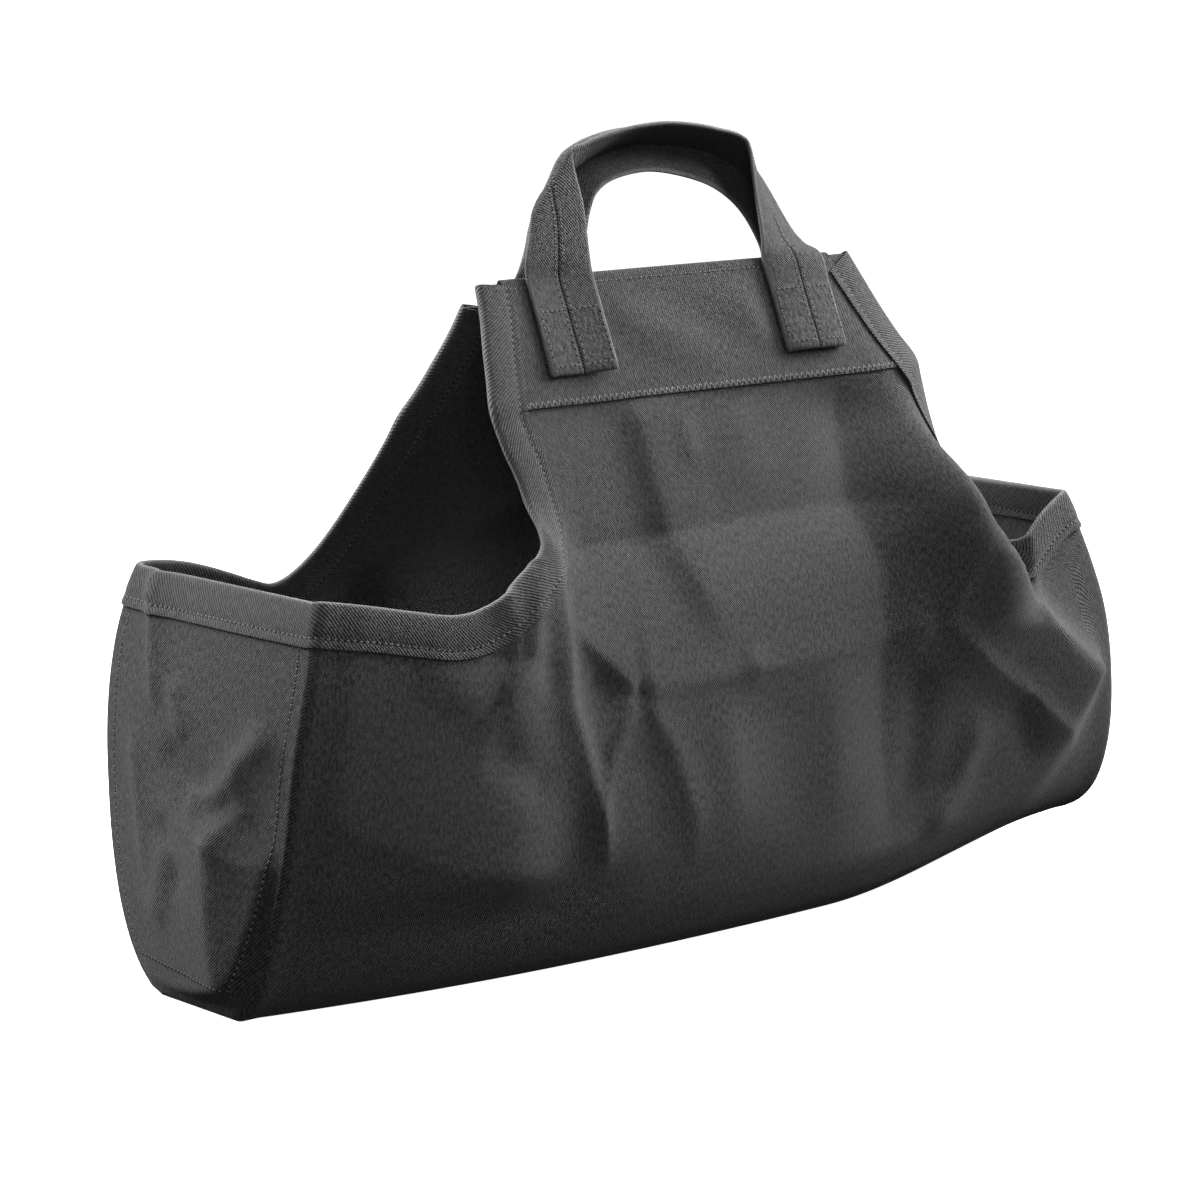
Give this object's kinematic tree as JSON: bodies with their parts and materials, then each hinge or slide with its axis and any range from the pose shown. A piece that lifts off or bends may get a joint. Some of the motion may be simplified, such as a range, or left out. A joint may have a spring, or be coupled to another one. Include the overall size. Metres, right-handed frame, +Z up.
{
  "type": "log carrier",
  "caption": "Canvas firewood carrier: an open trough bag with sewn ends, bound edges, raised front and back panels, hemmed tops and two strap handles.",
  "frame": {"origin": "on the floor under the middle of the flat bottom, where the carrier stands", "axes": "+X along the carrier's length to the right end, +Y from front to back, +Z up"},
  "size_m": [0.6848, 0.2194, 0.4855],
  "materials": {
    "canvas": "matt black canvas, fine twill",
    "binding": "matt black twill tape",
    "strap": "matt black folded canvas strap"
  },
  "bodies": {
    "root": {"body_sheet": "canvas", "end_panel_left": "canvas", "end_panel_right": "canvas", "top_band_front": "canvas", "top_band_back": "canvas", "binding_left": "binding", "binding_right": "binding", "handle_front": "strap", "handle_back": "strap"}
  },
  "joints": []
}
